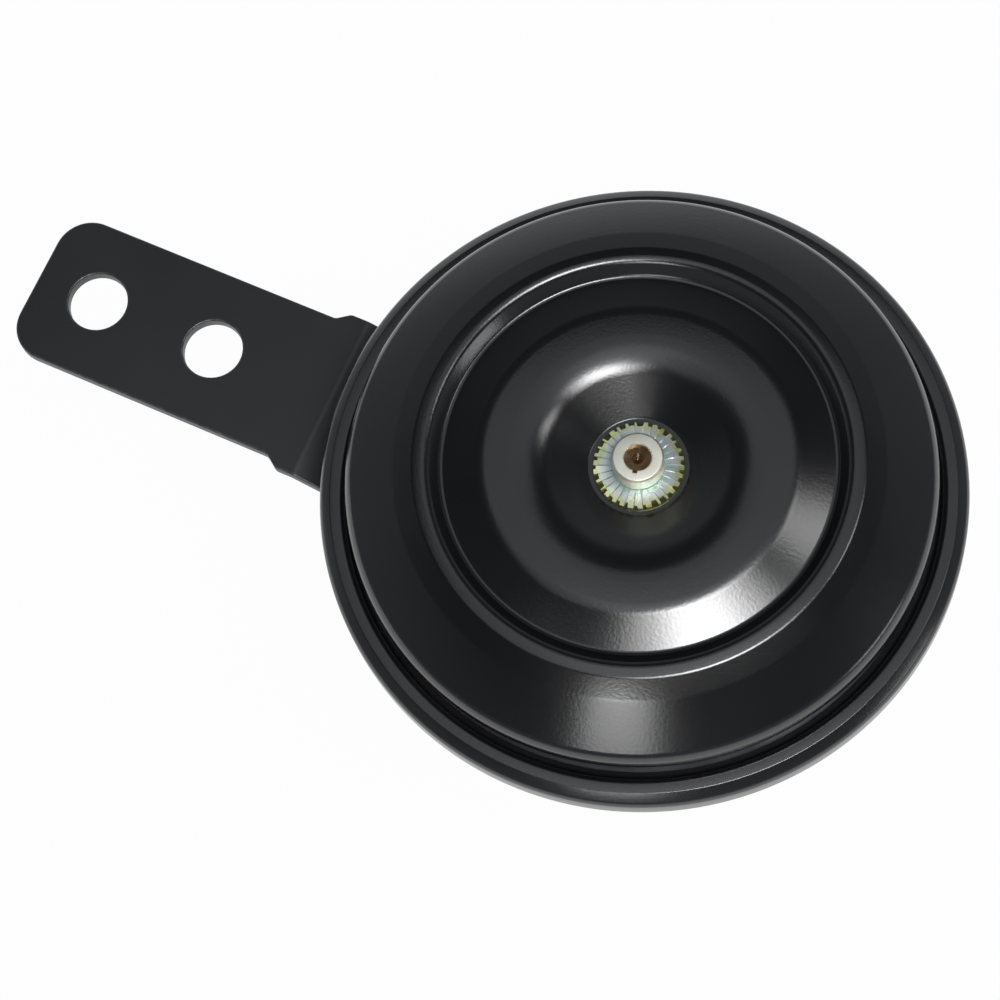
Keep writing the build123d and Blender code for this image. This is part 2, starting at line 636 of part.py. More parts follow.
# Breaker rivets: two alike, through the stack and the housing's shelf
with BuildPart() as breaker_rivets:
    for side in (-1, 1):
        with Locations(at_horn(BREAKER_X, side * BREAKER_RIVET_Y, SHELF_H - BREAKER_RIVET_HEAD)):
            Cylinder(BREAKER_RIVET_HEAD_R, BREAKER_RIVET_HEAD, align=(Align.CENTER, Align.CENTER, Align.MIN))
        with Locations(at_horn(BREAKER_X, side * BREAKER_RIVET_Y, SHELF_H)):
            Cylinder(BREAKER_RIVET_R, STACK_TOP_H - SHELF_H, align=(Align.CENTER, Align.CENTER, Align.MIN))
        with Locations(at_horn(BREAKER_X, side * BREAKER_RIVET_Y, STACK_TOP_H)):
            Cylinder(BREAKER_RIVET_HEAD_R, BREAKER_RIVET_HEAD, align=(Align.CENTER, Align.CENTER, Align.MIN))
breaker_rivets.part.label = "breaker_rivets"
export_step(breaker_rivets.part, "parts/breaker_rivets.step")

# Adjusting screw: slotted head behind the shelf, tip under the fixed arm's side tab
with BuildPart() as adjusting_screw:
    with Locations(at_horn(TUNING_SCREW_X, TUNING_SCREW_Y, SHELF_H)):
        Cylinder(TUNING_SCREW_R, FIXED_ARM_BACK_H - SHELF_H, align=(Align.CENTER, Align.CENTER, Align.MIN))
    with Locations(at_horn(TUNING_SCREW_X, TUNING_SCREW_Y, SHELF_H - TUNING_HEAD_HEIGHT)):
        Cylinder(TUNING_HEAD_R, TUNING_HEAD_HEIGHT, align=(Align.CENTER, Align.CENTER, Align.MIN))
        Box(
            2 * TUNING_HEAD_R,
            TUNING_SLOT_WIDTH,
            TUNING_SLOT_DEPTH,
            align=(Align.CENTER, Align.CENTER, Align.MIN),
            mode=Mode.SUBTRACT,
        )
adjusting_screw.part.label = "adjusting_screw"
export_step(adjusting_screw.part, "parts/adjusting_screw.step")

# Terminal plate: moulded insulator behind the shelf, its two bushes pass through the shelf
with BuildPart() as terminal_plate:
    with BuildSketch(Plane.XY.offset(height(PLATE_BACK_H))):
        with Locations((HORN_X, (PLATE_INNER_Y + PLATE_OUTER_Y) / 2)):
            RectangleRounded(PLATE_LENGTH, PLATE_OUTER_Y - PLATE_INNER_Y, PLATE_CORNER_R)
    extrude(amount=PLATE_THICK)
    with BuildSketch(Plane.XY.offset(height(SHELF_H))):
        with Locations((HORN_X - TERMINAL_X, TERMINAL_RIVET_Y), (HORN_X + TERMINAL_X, TERMINAL_RIVET_Y)):
            Circle(BUSH_R)
    extrude(amount=HOUSING_SHEET)
    with BuildSketch(Plane.XY.offset(height(PLATE_BACK_H))):
        with Locations((HORN_X - TERMINAL_X, TERMINAL_RIVET_Y), (HORN_X + TERMINAL_X, TERMINAL_RIVET_Y)):
            Circle(TERMINAL_RIVET_R)
    extrude(amount=PLATE_THICK + HOUSING_SHEET, mode=Mode.SUBTRACT)
terminal_plate.part.label = "terminal_plate"
export_step(terminal_plate.part, "parts/terminal_plate.step")

# Inner strip: insulating strip under the rivets' inner heads
with BuildPart() as terminal_inner_strip:
    with BuildSketch(Plane.XY.offset(height(SHELF_INSIDE_H))):
        with Locations((HORN_X, (INNER_STRIP_INNER_Y + INNER_STRIP_OUTER_Y) / 2)):
            Rectangle(INNER_STRIP_LENGTH, INNER_STRIP_OUTER_Y - INNER_STRIP_INNER_Y)
        with Locations((HORN_X - TERMINAL_X, TERMINAL_RIVET_Y), (HORN_X + TERMINAL_X, TERMINAL_RIVET_Y)):
            Circle(TERMINAL_RIVET_R, mode=Mode.SUBTRACT)
    extrude(amount=INNER_STRIP_THICK)
terminal_inner_strip.part.label = "terminal_inner_strip"
export_step(terminal_inner_strip.part, "parts/terminal_inner_strip.step")


def terminal_blade(centre_x):
    """One angled blade: a foot on the plate and a flat tongue pointing backwards."""
    with BuildPart() as blade:
        with BuildSketch(Plane(origin=at_horn(centre_x), x_dir=(0, 1, 0), z_dir=(1, 0, 0))):
            with BuildLine():
                rounded_path([
                    (BLADE_FOOT_INNER_Y, PLATE_BACK_H),
                    (BLADE_OUTER_Y, PLATE_BACK_H, BLADE_BEND),
                    (BLADE_OUTER_Y, BLADE_TIP_H),
                ])
                offset(amount=BLADE_SHEET, side=Side.RIGHT)
            make_face()
        extrude(amount=BLADE_WIDTH / 2, both=True)
        tips = blade.edges().filter_by(Axis.Y).group_by(Axis.Z)[0]
        chamfer(tips, BLADE_TIP_CHAMFER)
        with Locations(at_horn(centre_x, TERMINAL_RIVET_Y, BLADE_BACK_H)):
            Cylinder(
                TERMINAL_RIVET_R,
                BLADE_SHEET,
                align=(Align.CENTER, Align.CENTER, Align.MIN),
                mode=Mode.SUBTRACT,
            )
        with Locations(at_horn(centre_x, BLADE_OUTER_Y - BLADE_SHEET / 2, BLADE_TIP_H + BLADE_EYE_FROM_TIP)):
            Cylinder(BLADE_EYE_R, 2 * BLADE_SHEET, rotation=(90, 0, 0), mode=Mode.SUBTRACT)
    return blade.part


# Terminal blades: two 6.3 mm tongues for push-on connectors
for name, side in (("terminal_blade_a", -1), ("terminal_blade_b", 1)):
    blade_part = terminal_blade(side * TERMINAL_X)
    blade_part.label = name
    export_step(blade_part, "parts/" + name + ".step")

# Terminal rivets: two alike, through blade, plate and inner strip
with BuildPart() as terminal_rivets:
    for side in (-1, 1):
        with Locations(at_horn(side * TERMINAL_X, TERMINAL_RIVET_Y, BLADE_BACK_H - TERMINAL_RIVET_HEAD)):
            Cylinder(
                TERMINAL_RIVET_HEAD_R,
                TERMINAL_RIVET_HEAD,
                align=(Align.CENTER, Align.CENTER, Align.MIN),
            )
        with Locations(at_horn(side * TERMINAL_X, TERMINAL_RIVET_Y, BLADE_BACK_H)):
            Cylinder(
                TERMINAL_RIVET_R,
                INNER_STRIP_TOP_H - BLADE_BACK_H,
                align=(Align.CENTER, Align.CENTER, Align.MIN),
            )
        with Locations(at_horn(side * TERMINAL_X, TERMINAL_RIVET_Y, INNER_STRIP_TOP_H)):
            Cylinder(
                TERMINAL_RIVET_HEAD_R - SHAFT_CLEARANCE,
                TERMINAL_RIVET_HEAD,
                align=(Align.CENTER, Align.CENTER, Align.MIN),
            )
terminal_rivets.part.label = "terminal_rivets"
export_step(terminal_rivets.part, "parts/terminal_rivets.step")


def lead_wire(points):
    """Round wire swept along a smooth curve through the points."""
    places = [at_horn(*point) for point in points]
    with BuildPart() as wire:
        with BuildLine() as path:
            Spline(*places)
        with BuildSketch(Plane(origin=path.line @ 0, z_dir=path.line % 0)):
            Circle(LEAD_R)
        sweep()
    return wire.part


# Leads: coil to terminal, coil to moving arm, fixed arm to the other terminal
for name, points in (
    ("lead_coil_terminal", COIL_TERMINAL_LEAD),
    ("lead_coil_breaker", COIL_BREAKER_LEAD),
    ("lead_breaker_terminal", BREAKER_TERMINAL_LEAD),
):
    lead_part = lead_wire(points)
    lead_part.label = name
    export_step(lead_part, "parts/" + name + ".step")

# Bracket: folded steel strap, flat where it is bolted, sloped down to the housing's floor
with BuildPart() as bracket:
    with BuildSketch(Plane.XZ):
        with BuildLine():
            rounded_path([
                (TAB_END_X, 0),
                (FOLD_X, 0, FOLD_BEND),
                (STRAP_SEAT_X, STRAP_SEAT_Z, STRAP_SEAT_BEND),
                (HORN_X + STRAP_TAIL_R, STRAP_SEAT_Z),
            ])
            offset(amount=BRACKET_SHEET, side=Side.RIGHT)
        make_face()
    extrude(amount=ROOT_WIDTH, both=True)
    with BuildSketch(Plane.XY.offset(STRAP_SEAT_Z - 2 * BRACKET_SHEET)) as outline:
        with Locations(((TAB_END_X + SHOULDER_END_X) / 2, 0)):
            Rectangle(SHOULDER_END_X - TAB_END_X, TAB_WIDTH)
        fillet(outline.vertices().group_by(Axis.X)[0], TAB_CORNER_R)
        with BuildLine():
            Polyline(
                (SHOULDER_START_X, TAB_WIDTH / 2),
                (SHOULDER_END_X, ROOT_WIDTH / 2),
                (HORN_X, ROOT_WIDTH / 2),
                (HORN_X, -ROOT_WIDTH / 2),
                (SHOULDER_END_X, -ROOT_WIDTH / 2),
                (SHOULDER_START_X, -TAB_WIDTH / 2),
                close=True,
            )
        make_face()
        with Locations((HORN_X, 0)):
            Circle(STRAP_TAIL_R)
        shoulder_points = outline.vertices().filter_by_position(
            Axis.X,
            SHOULDER_START_X - SHOULDER_BEND / 2,
            SHOULDER_END_X + SHOULDER_BEND / 2,
        )
        fillet(shoulder_points, SHOULDER_BEND)
        with Locations((-HOLE_SPACING / 2, 0), (HOLE_SPACING / 2, 0)):
            Circle(HOLE_R, mode=Mode.SUBTRACT)
        with Locations((HORN_X, 0)):
            Circle(STUD_HOLE_R, mode=Mode.SUBTRACT)
    extrude(amount=RIM_Z, mode=Mode.INTERSECT)
bracket.part.label = "bracket"
export_step(bracket.part, "parts/bracket.step")

# Split lock washer behind the strap
with BuildPart() as lock_washer:
    with BuildSketch(Plane.XY.offset(height(NUT_STUD_TOP_H))):
        with Locations((HORN_X, 0)):
            Circle(LOCK_WASHER_R)
            Circle(STUD_HOLE_R, mode=Mode.SUBTRACT)
            Rectangle(
                LOCK_WASHER_R * 2,
                LOCK_WASHER_SPLIT,
                align=(Align.MIN, Align.CENTER),
                mode=Mode.SUBTRACT,
            )
    extrude(amount=LOCK_WASHER_THICK)
lock_washer.part.label = "lock_washer"
export_step(lock_washer.part, "parts/lock_washer.step")

# Stud nut: hexagon nut that holds the strap on the stud
with BuildPart() as stud_nut:
    with BuildSketch(Plane.XY.offset(height(NUT_STUD_TOP_H - STUD_NUT_HEIGHT))):
        with Locations((HORN_X, 0)):
            RegularPolygon(STUD_NUT_ACROSS_FLATS / 2, 6, major_radius=False)
            Circle(STUD_R, mode=Mode.SUBTRACT)
    extrude(amount=STUD_NUT_HEIGHT)
stud_nut.part.label = "stud_nut"
export_step(stud_nut.part, "parts/stud_nut.step")
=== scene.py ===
import math
import random

import bmesh
import bpy
from mathutils import Matrix, Vector


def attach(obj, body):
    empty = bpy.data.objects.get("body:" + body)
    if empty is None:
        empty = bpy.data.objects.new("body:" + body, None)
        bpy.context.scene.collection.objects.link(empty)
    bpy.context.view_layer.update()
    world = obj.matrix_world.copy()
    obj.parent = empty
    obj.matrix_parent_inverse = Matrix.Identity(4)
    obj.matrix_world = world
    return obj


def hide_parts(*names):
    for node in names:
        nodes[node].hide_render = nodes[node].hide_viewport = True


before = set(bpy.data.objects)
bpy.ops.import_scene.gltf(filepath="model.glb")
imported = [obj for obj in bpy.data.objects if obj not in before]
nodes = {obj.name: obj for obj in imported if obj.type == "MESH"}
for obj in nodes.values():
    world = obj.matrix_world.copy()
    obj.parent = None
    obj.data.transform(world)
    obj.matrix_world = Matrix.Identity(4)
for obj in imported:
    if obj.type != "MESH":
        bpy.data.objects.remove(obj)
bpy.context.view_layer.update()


# Tone disc: the pressed steel resonator in front. One sheet, deep drawn in a press and
# dipped in black. A conical skirt rises from its turned-down edge to a tight crest. Inside
# it the sheet drops into a narrow valley and climbs as a cone to a round button, whose
# dished middle is clamped on the spindle.
horn_x = 0.0805
rim_z = 0.019
mm = 0.001
weld = 2e-6
disc_sheet = 0.9
grain_height = 0.00003
gloss_low, gloss_high = 0.85, 1.15
disc_corners = [
    (40.6, 3.6, 0), (40.6, 6.2, 2.2), (33.4, 10.55, 6.0), (30.6, 12.0, 1.2), (28.7, 12.3, 1.3),
    (26.9, 10.2, 0.7), (21.3, 12.25, 6.0), (14.8, 12.7, 10.0), (6.9, 8.2, 0.35), (2.02, 8.2, 0),
]


def bent_line(bm, corners, segments=8):
    """Wire through (radius, height, bend radius) corners, in mm from the rim's centre, bends rounded."""
    verts = [bm.verts.new((horn_x + r * mm, 0, rim_z + h * mm)) for r, h, bend in corners]
    for one, two in zip(verts, verts[1:]):
        bm.edges.new((one, two))
    for vert, (r, h, bend) in zip(verts, corners):
        if bend:
            ways = [e.other_vert(vert).co - vert.co for e in vert.link_edges]
            reach = bend * mm / math.tan(ways[0].angle(ways[1]) / 2)
            bmesh.ops.bevel(
                bm, geom=[vert], offset=reach, offset_type="OFFSET", affect="VERTICES",
                segments=segments, profile=0.5, material=-1, clamp_overlap=False,
            )


def turn_round(bm, steps=192):
    """Spin the whole wire once round the horn's axis and close the seam."""
    bmesh.ops.spin(
        bm, geom=bm.verts[:] + bm.edges[:], cent=(horn_x, 0, 0), axis=(0, 0, 1), dvec=(0, 0, 0),
        angle=math.tau, steps=steps, use_merge=True, use_duplicate=False,
    )
    bmesh.ops.remove_doubles(bm, verts=bm.verts[:], dist=weld)


def finish_piece(name, bm, materials, body, replaced, smooth=40):
    mesh = bpy.data.meshes.new(name)
    bm.to_mesh(mesh)
    bm.free()
    for face in mesh.polygons:
        face.use_smooth = True
    mesh.set_sharp_from_angle(angle=math.radians(smooth))
    for material in materials:
        mesh.materials.append(material)
    piece = bpy.data.objects.new(name, mesh)
    bpy.context.scene.collection.objects.link(piece)
    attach(piece, body)
    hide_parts(*replaced)
    return piece


def pressed_round(name, corners, sheet, material, body, replaced):
    """Pressed round sheet: outer line turned round the axis, then given its wall inwards."""
    bm = bmesh.new()
    bent_line(bm, corners)
    turn_round(bm)
    bmesh.ops.recalc_face_normals(bm, faces=bm.faces[:])
    bm.normal_update()
    largest = max(bm.faces, key=lambda f: f.calc_area())
    outward = largest.calc_center_median() - Vector((horn_x, 0, rim_z - 6 * mm))
    if largest.normal.dot(outward) <= 0:
        bmesh.ops.reverse_faces(bm, faces=bm.faces[:])
    bmesh.ops.solidify(bm, geom=bm.faces[:], thickness=sheet * mm)
    return finish_piece(name, bm, [material], body, replaced)


def grained(name, dark, light, rough, metal=0.0, cloud=60, grain=4000, depth=0.2, ior=1.5):
    """Procedural surface in object space: clouded colour and gloss, fine grain in relief."""
    material = bpy.data.materials.new(name)
    material.use_nodes = True
    tree = material.node_tree
    shader = tree.nodes["Principled BSDF"]
    place = tree.nodes.new("ShaderNodeTexCoord")
    mottle = tree.nodes.new("ShaderNodeTexNoise")
    mottle.inputs["Scale"].default_value = cloud
    mottle.inputs["Detail"].default_value = 4
    tint = tree.nodes.new("ShaderNodeValToRGB")
    tint.color_ramp.elements[0].position = 0.3
    tint.color_ramp.elements[1].position = 0.7
    tint.color_ramp.elements[0].color = (*dark, 1)
    tint.color_ramp.elements[1].color = (*light, 1)
    gloss = tree.nodes.new("ShaderNodeMapRange")
    gloss.inputs["To Min"].default_value = rough * gloss_low
    gloss.inputs["To Max"].default_value = rough * gloss_high
    peel = tree.nodes.new("ShaderNodeTexNoise")
    peel.inputs["Scale"].default_value = grain
    peel.inputs["Detail"].default_value = 2
    bump = tree.nodes.new("ShaderNodeBump")
    bump.inputs["Strength"].default_value = depth
    bump.inputs["Distance"].default_value = grain_height
    tree.links.new(place.outputs["Object"], mottle.inputs["Vector"])
    tree.links.new(place.outputs["Object"], peel.inputs["Vector"])
    tree.links.new(mottle.outputs["Fac"], tint.inputs["Fac"])
    tree.links.new(mottle.outputs["Fac"], gloss.inputs["Value"])
    tree.links.new(gloss.outputs["Result"], shader.inputs["Roughness"])
    tree.links.new(tint.outputs["Color"], shader.inputs["Base Color"])
    tree.links.new(peel.outputs["Fac"], bump.inputs["Height"])
    tree.links.new(bump.outputs["Normal"], shader.inputs["Normal"])
    shader.inputs["Metallic"].default_value = metal
    shader.inputs["IOR"].default_value = ior
    return material


disc_black = grained(
    "disc black coating", (0.004, 0.004, 0.0045), (0.006, 0.006, 0.0065), 0.2,
    grain=2600, depth=0.35, ior=1.8,
)
pressed_round(
    "tone_disc_pressing", disc_corners, disc_sheet, disc_black, "vibrator", ["tone_disc"],
)


# Toothed washer: spring steel stamping, yellow zinc plated. A ring of thirty twisted teeth,
# their gaps cut unevenly by a worn tool, over a thin solid rim; the nut presses it on the disc.
washer_hole, washer_r = 2.1, 6.3
washer_low, rim_top, teeth_top = 8.2, 8.38, 8.9
washer_teeth, per_tooth = 30, 12
rings = [washer_hole, 3.5, 4.3, 5.0, 5.5, 5.72, 5.95, 6.2]
tooth_inset, edge_wear = 0.1, 0.07
gap_share, gap_depth, tooth_twist = (0.3, 0.72), (0.35, 0.75), (0.03, 0.16)
twist_start, twist_width = 3.9, 1.4
facing_up = 0.9
dice = random.Random(7)
bm = bmesh.new()
bent_line(bm, [
    (washer_hole, washer_low, 0), (washer_r, washer_low, 0),
    (washer_r, rim_top, 0), (washer_hole, rim_top, 0),
])
upper_end = min(bm.verts, key=lambda v: v.co.x - v.co.z)
lower_end = min(bm.verts, key=lambda v: v.co.x + v.co.z)
bm.edges.new((upper_end, lower_end))
turn_round(bm, 180)
bmesh.ops.recalc_face_normals(bm, faces=bm.faces[:])
# The rim's upward faces, seen only in the gaps between the teeth, take a dark painted shade.
for face in bm.faces:
    face.material_index = 1 if face.normal.z > facing_up else 0
grid = []
for tooth in range(washer_teeth):
    gap, deep, twist = dice.uniform(*gap_share), dice.uniform(*gap_depth), dice.uniform(*tooth_twist)
    for step in range(per_tooth):
        part = step / per_tooth
        angle = math.tau * (tooth + part) / washer_teeth
        edge = washer_r - tooth_inset - (deep if part < gap else 0) - dice.uniform(0, edge_wear)
        column = []
        for ring in rings:
            r = min(ring, edge) if ring < rings[-1] else edge
            lift = teeth_top - twist * part * min(1, max(0, (r - twist_start) / twist_width))
            column.append((r, angle, lift))
        grid.append(column)


def washer_point(r, a, h):
    """Vertex at this radius, angle and height from the rim's centre."""
    return bm.verts.new((horn_x + r * mm * math.cos(a), r * mm * math.sin(a), rim_z + h * mm))


tops = [[washer_point(r, a, h) for r, a, h in column] for column in grid]
lows = [[washer_point(r, a, rim_top) for r, a, h in column] for column in grid]
for here in range(len(grid)):
    there = (here + 1) % len(grid)
    for k in range(len(rings) - 1):
        bm.faces.new((tops[here][k], tops[here][k + 1], tops[there][k + 1], tops[there][k]))
        bm.faces.new((lows[here][k + 1], lows[here][k], lows[there][k], lows[there][k + 1]))
    bm.faces.new((tops[here][-1], lows[here][-1], lows[there][-1], tops[there][-1]))
    bm.faces.new((lows[here][0], tops[here][0], tops[there][0], lows[there][0]))
bmesh.ops.dissolve_degenerate(bm, dist=1e-7, edges=bm.edges[:])

zinc_yellow = grained(
    "yellow zinc plating", (0.62, 0.66, 0.3), (0.8, 0.84, 0.7), 0.42, 1.0, 900, 5000, 0.15,
)
# Dark painted shade for the notch floors between the teeth.
notch_painted_shade = grained(
    "notch floor painted shade", (0.02, 0.018, 0.006), (0.06, 0.055, 0.02), 0.4, 0.6, 1500, 5000, 0.3,
)
film_inner, film_outer, film_drift = 0.0052, 0.0079, 0.0032
film_tones = (
    (0.3, (0.6, 0.66, 0.68)), (0.55, (0.7, 0.72, 0.68)), (0.75, (0.6, 0.66, 0.36)), (0.88, (0.7, 0.72, 0.42)),
)
tree = zinc_yellow.node_tree
shader = tree.nodes["Principled BSDF"]
place = tree.nodes.new("ShaderNodeTexCoord")
centre = tree.nodes.new("ShaderNodeMapping")
centre.inputs["Location"].default_value = (-horn_x, 0, 0)
flat = tree.nodes.new("ShaderNodeVectorMath")
flat.operation = "MULTIPLY"
flat.inputs[1].default_value = (1, 1, 0)
reach = tree.nodes.new("ShaderNodeVectorMath")
reach.operation = "LENGTH"
cloud = tree.nodes.new("ShaderNodeTexNoise")
cloud.inputs["Scale"].default_value = 700
cloud.inputs["Detail"].default_value = 3
shift = tree.nodes.new("ShaderNodeMath")
shift.operation = "MULTIPLY_ADD"
shift.inputs[1].default_value = film_drift
bands = tree.nodes.new("ShaderNodeMapRange")
bands.inputs["From Min"].default_value = film_inner
bands.inputs["From Max"].default_value = film_outer
film = tree.nodes.new("ShaderNodeValToRGB")
film.color_ramp.elements[0].position = 0.0
film.color_ramp.elements[0].color = (0.42, 0.55, 0.5, 1)
film.color_ramp.elements[1].position = 1.0
film.color_ramp.elements[1].color = (0.56, 0.52, 0.16, 1)
for spot, tone in film_tones:
    film.color_ramp.elements.new(spot).color = (*tone, 1)
tree.links.new(place.outputs["Object"], centre.inputs["Vector"])
tree.links.new(centre.outputs["Vector"], flat.inputs[0])
tree.links.new(flat.outputs["Vector"], reach.inputs[0])
tree.links.new(place.outputs["Object"], cloud.inputs["Vector"])
tree.links.new(cloud.outputs["Fac"], shift.inputs[0])
tree.links.new(reach.outputs["Value"], shift.inputs[2])
tree.links.new(shift.outputs["Value"], bands.inputs["Value"])
tree.links.new(bands.outputs["Result"], film.inputs["Fac"])
tree.links.new(film.outputs["Color"], shader.inputs["Base Color"])
finish_piece(
    "toothed_washer_stamping", bm, [zinc_yellow, notch_painted_shade], "vibrator",
    ["toothed_washer"], 25,
)


# Centre nut: round collar turned from bar and nickel plated, screwed down on the spindle.
# Its bore stays open above the spindle's tip and a small nick from the wrench marks its edge.
nut_r, nut_bore, nut_low, nut_high, nut_bevel = 3.55, 1.86, 8.9, 12.2, 0.25
bore_bevel, bevel_bend, bore_ring = 0.15, 0.12, 1.0
nick_way, nick_wide, nick_deep = 283, 9, 0.34
nick_tall, nick_reach = 0.9, 0.3
bm = bmesh.new()
bent_line(bm, [
    (nut_bore, nut_high - bore_bevel, 0), (nut_bore + bore_bevel, nut_high, 0),
    (nut_r - nut_bevel, nut_high, bevel_bend), (nut_r, nut_high - nut_bevel, bevel_bend),
    (nut_r, nut_low + nut_bevel, 0), (nut_r - nut_bevel, nut_low, 0),
    (nut_bore, nut_low, 0), (nut_bore, nut_high - bore_ring, 0),
], 3)
bm.edges.new([v for v in bm.verts if len(v.link_edges) == 1])
turn_round(bm, 120)
bmesh.ops.recalc_face_normals(bm, faces=bm.faces[:])
for vert in bm.verts:
    off = vert.co - Vector((horn_x, 0, vert.co.z))
    turn = (math.degrees(math.atan2(off.y, off.x)) - nick_way + 180) % 360 - 180
    inside = off.length < (nut_bore + nick_reach) * mm
    if abs(turn) < nick_wide and inside and vert.co.z > rim_z + (nut_high - nick_tall) * mm:
        vert.co += off.normalized() * nick_deep * mm
nut_plate = grained("nut nickel plating", (0.92, 0.89, 0.76), (0.97, 0.95, 0.84), 0.46, 1.0, 500, 3000, 0.12)
finish_piece("centre_nut_collar", bm, [nut_plate], "vibrator", ["centre_nut"], 30)


# Spindle: turned steel pin with a coppery chromate tip, sunk inside the nut and centre-punched.
# It carries the tone disc, the diaphragm and the armature as one moving stack.
spindle_copper = grained(
    "spindle coppery tip", (0.11, 0.06, 0.028), (0.24, 0.15, 0.08), 0.3, 1.0, 900, 2500, 0.3,
)


def dress(name, material):
    """Give a CAD piece its own procedural material and leave its mesh as it is."""
    nodes[name].data.materials.clear()
    nodes[name].data.materials.append(material)


dress("spindle", spindle_copper)


# Disc spacer: turned steel collar between the diaphragm and the tone disc, bright zinc plated,
# threaded on the spindle from the front.
zinc_bright = grained("bright zinc plating", (0.5, 0.52, 0.55), (0.68, 0.7, 0.72), 0.3, 1.0, 700, 2500, 0.2)
dress("disc_spacer", zinc_bright)


# Armature: soft iron slug on the spindle's foot, turned and left bare under a film of oil.
# It stands over the pole core and is drawn to it at each stroke.
soft_iron = grained("oiled soft iron", (0.24, 0.235, 0.23), (0.36, 0.35, 0.34), 0.36, 1.0, 400, 1800, 0.3)
dress("armature", soft_iron)


# Clamp ring: a steel ring rolled over the housing's flange, the gaskets and the diaphragm.
# Its front lip slopes in to the diaphragm and its back edge is curled under the flange.
ring_sheet = 1.0
ring_corners = [
    (40.2, -1.1, 0), (41.0, -1.1, 0.3), (41.3, 0.35, 1.1), (43.4, 0.2, 0.25), (45.0, -0.9, 1.2),
    (45.0, -5.4, 1.4), (42.4, -5.4, 0),
]
ring_black = grained(
    "ring black coating", (0.005, 0.005, 0.006), (0.009, 0.009, 0.0105), 0.22,
    grain=2200, depth=0.3, ior=1.8,
)
pressed_round(
    "clamp_ring_rolling", ring_corners, ring_sheet, ring_black, "base", ["clamp_ring"],
)


# Gaskets: two rings punched from oiled fibre paper, one each side of the diaphragm's edge,
# squeezed by the clamp ring so that the housing stays dry.
gasket_paper = grained(
    "oiled gasket paper", (0.09, 0.06, 0.035), (0.2, 0.145, 0.085), 0.8, 0.0, 900, 2200, 0.6,
)
dress("gasket_front", gasket_paper)
dress("gasket_rear", gasket_paper)


# Diaphragm: spring steel sheet, blued, held at its edge between the gaskets and at its
# middle between spacer and armature. It bends as the horn sounds.
diaphragm_steel = grained(
    "blued diaphragm steel", (0.16, 0.17, 0.185), (0.27, 0.28, 0.3), 0.35, 1.0, 120, 3000, 0.15,
)
dress("diaphragm", diaphragm_steel)


# Housing: steel pot deep drawn in steps, dipped black like the disc. Its flange lies in the
# clamp ring, its shelf carries breaker and terminals and its well holds the coil.
housing_black = grained(
    "housing black coating", (0.005, 0.005, 0.0055), (0.009, 0.009, 0.01), 0.3, grain=1900, depth=0.35,
)
dress("housing", housing_black)


# Pole core: soft iron bar turned in one with the rear stud, pressed through the well's floor.
# The stud carries the bracket outside.
core_iron = grained("pole core soft iron", (0.27, 0.265, 0.26), (0.42, 0.41, 0.4), 0.33, 1.0, 500, 2200, 0.25)
dress("pole_core", core_iron)


# Coil bobbin: moulded glass-filled plastic, pushed over the pole core. It stands on the
# well's floor and keeps the winding off the steel.
bobbin_plastic = grained("bobbin plastic", (0.45, 0.4, 0.3), (0.56, 0.5, 0.39), 0.5, 0.0, 200, 1500, 0.3)
dress("coil_bobbin", bobbin_plastic)


# Coil winding: enamelled copper wire in close turns, varnished in place. Fine bands along the
# axis stand for the turns.
turn_bands, turn_height = 560, 0.0001
coil_copper = grained(
    "enamelled coil wire", (0.3, 0.07, 0.02), (0.55, 0.17, 0.06), 0.3, 0.8, 300, 2500, 0.2,
)
tree = coil_copper.node_tree
place = tree.nodes.new("ShaderNodeTexCoord")
turns = tree.nodes.new("ShaderNodeTexWave")
turns.bands_direction = "Z"
turns.inputs["Scale"].default_value = turn_bands
turns.inputs["Distortion"].default_value = 0.4
relief = tree.nodes.new("ShaderNodeBump")
relief.inputs["Strength"].default_value = 0.8
relief.inputs["Distance"].default_value = turn_height
tree.links.new(place.outputs["Object"], turns.inputs["Vector"])
tree.links.new(turns.outputs["Fac"], relief.inputs["Height"])
tree.links.new(relief.outputs["Normal"], tree.nodes["Principled BSDF"].inputs["Normal"])
dress("coil_winding", coil_copper)


# Breaker: two phosphor bronze arms between brown insulators, held by two brass rivets through
# the shelf. The armature lifts the moving arm off the fixed one, and a tungsten contact on
# each arm takes the spark.
spring_bronze = grained(
    "phosphor bronze spring", (0.5, 0.3, 0.14), (0.66, 0.43, 0.22), 0.3, 1.0, 500, 2500, 0.2,
)
insulator_brown = grained(
    "laminated brown insulator", (0.075, 0.03, 0.013), (0.14, 0.062, 0.028), 0.5, 0.0, 500, 1600, 0.4,
)
contact_tungsten = grained(
    "tungsten contact", (0.3, 0.3, 0.31), (0.45, 0.45, 0.46), 0.4, 1.0, 900, 3000, 0.3,
)
brass = grained("brass", (0.6, 0.44, 0.17), (0.74, 0.57, 0.26), 0.28, 1.0, 500, 2500, 0.2)
dress("breaker_moving_arm", spring_bronze)
dress("breaker_fixed_arm", spring_bronze)
dress("contact_moving", contact_tungsten)
dress("contact_fixed", contact_tungsten)
dress("insulator_lower", insulator_brown)
dress("insulator_middle", insulator_brown)
dress("insulator_upper", insulator_brown)
dress("breaker_rivets", brass)


# Adjusting screw: slotted brass screw through the housing's shelf. It bends the fixed arm and
# so sets the breaker.
screw_brass = grained(
    "adjusting screw brass", (0.56, 0.41, 0.16), (0.7, 0.54, 0.25), 0.32, 1.0, 600, 2000, 0.3,
)
dress("adjusting_screw", screw_brass)


